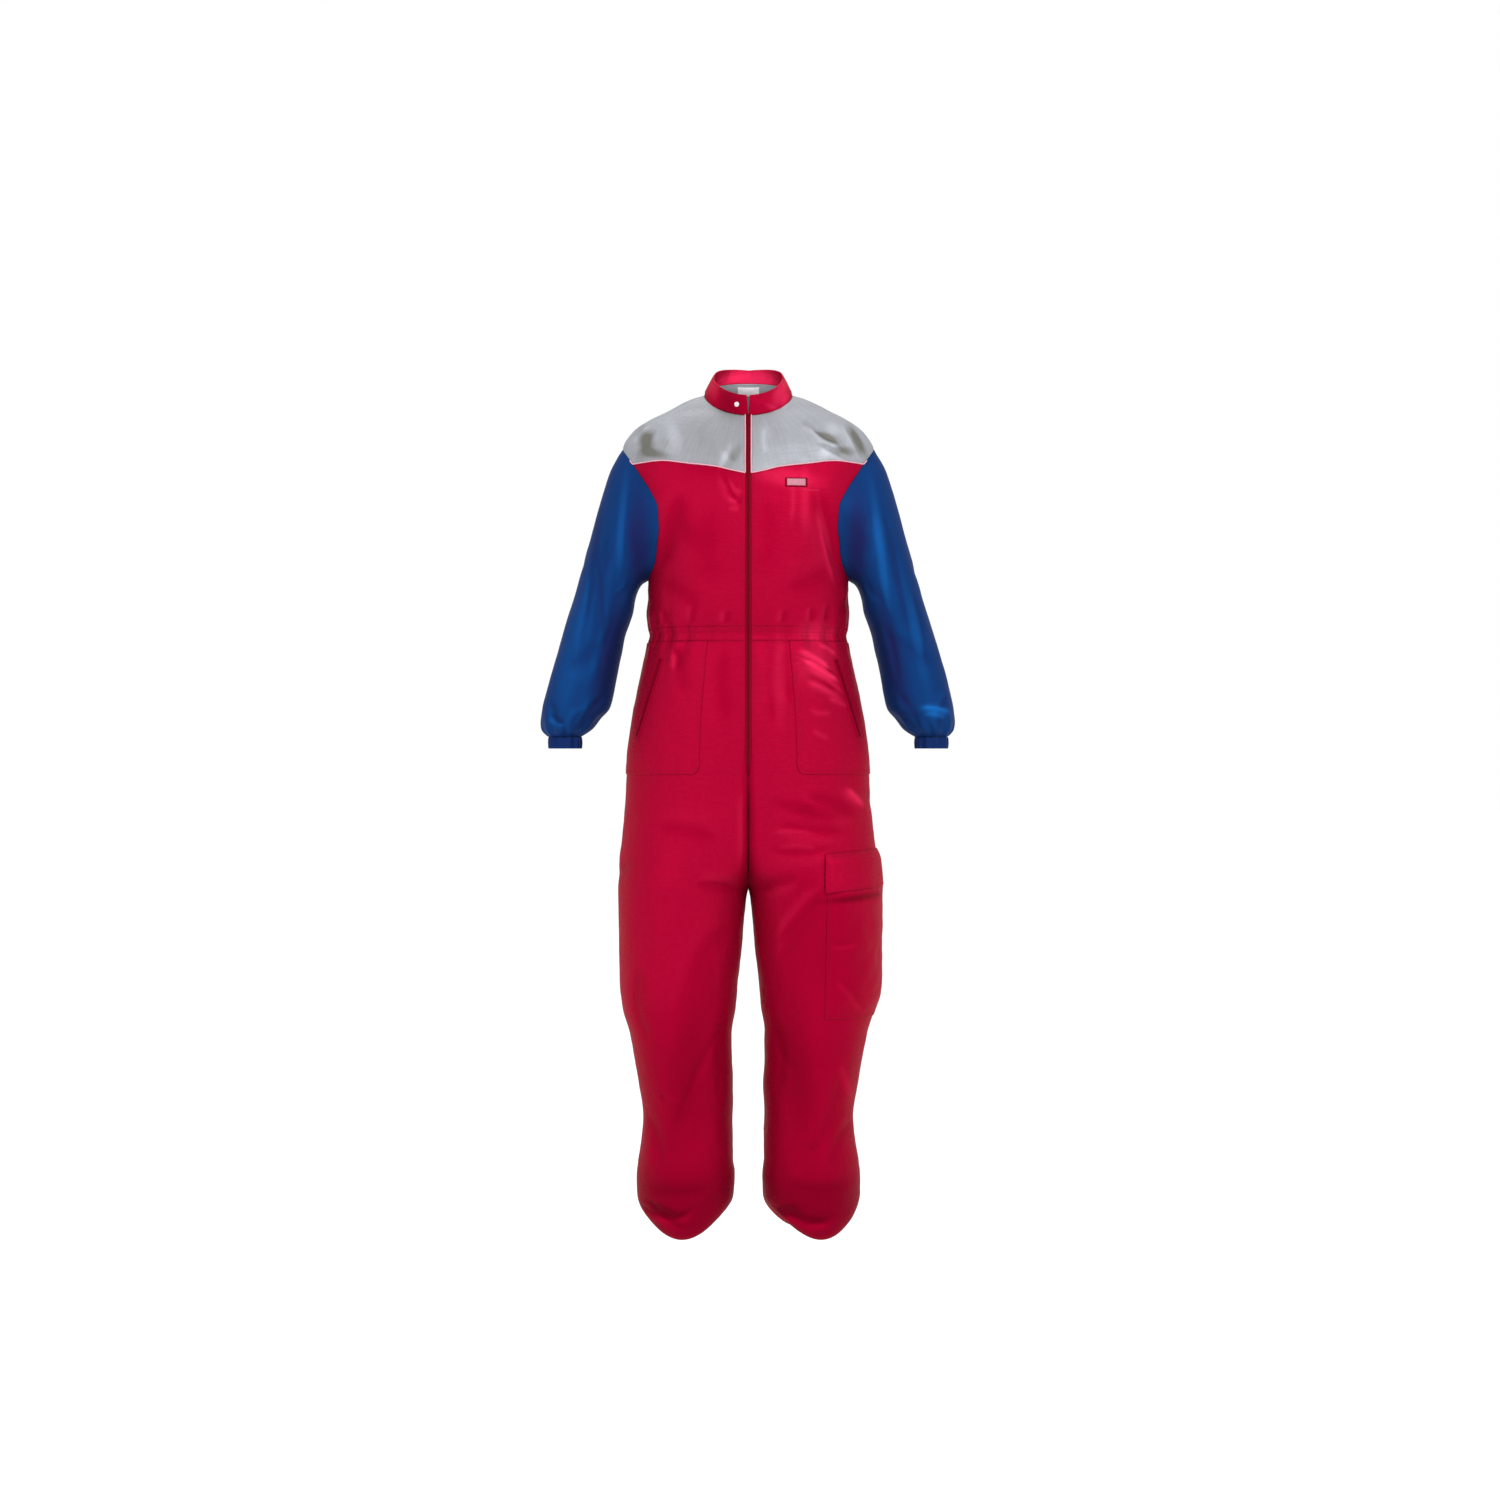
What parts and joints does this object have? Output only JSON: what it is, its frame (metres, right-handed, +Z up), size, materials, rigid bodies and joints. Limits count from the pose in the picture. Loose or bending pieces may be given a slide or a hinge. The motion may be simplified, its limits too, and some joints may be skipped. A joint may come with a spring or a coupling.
{
  "type": "one-piece racing jumpsuit, filled out as worn with no wearer",
  "caption": "Red one-piece racing jumpsuit with a silver yoke, blue sleeves, front zip, stand collar and a cargo pocket on the left thigh.",
  "frame": {"origin": "middle of the shoulder line at the base of the neck, where the wearer's shoulders hold the suit up", "axes": "+Z up the body, -Y out of the suit's front, +X to the wearer's left"},
  "size_m": [0.7344, 0.2658, 1.5443],
  "materials": {
    "red_nylon": "thin satin nylon, soft sheen",
    "blue_nylon": "thin satin nylon, soft sheen",
    "silver_nylon": "thin satin nylon, soft sheen",
    "zip": "woven zip tape with fine teeth",
    "label": "plain woven label",
    "chest_label": "plain woven label with a bordered edge",
    "snap": "pearl cap"
  },
  "bodies": {
    "root": {"front_left": "red_nylon", "front_right": "red_nylon", "back": "red_nylon", "waistband": "red_nylon", "collar": "red_nylon", "leg_front_left": "red_nylon", "leg_front_right": "red_nylon", "leg_back_left": "red_nylon", "leg_back_right": "red_nylon", "hem_left": "red_nylon", "hem_right": "red_nylon", "hip_pocket_left": "red_nylon", "hip_pocket_right": "red_nylon", "cargo_pocket": "red_nylon", "cargo_flap": "red_nylon", "yoke_front_left": "silver_nylon", "yoke_front_right": "silver_nylon", "yoke_back": "silver_nylon", "sleeve_left": "blue_nylon", "sleeve_right": "blue_nylon", "cuff_left": "blue_nylon", "cuff_right": "blue_nylon", "front_zip": "zip", "pocket_zip_left": "zip", "pocket_zip_right": "zip", "neck_label": "label", "chest_label": "chest_label", "collar_snap": "snap"}
  },
  "joints": []
}
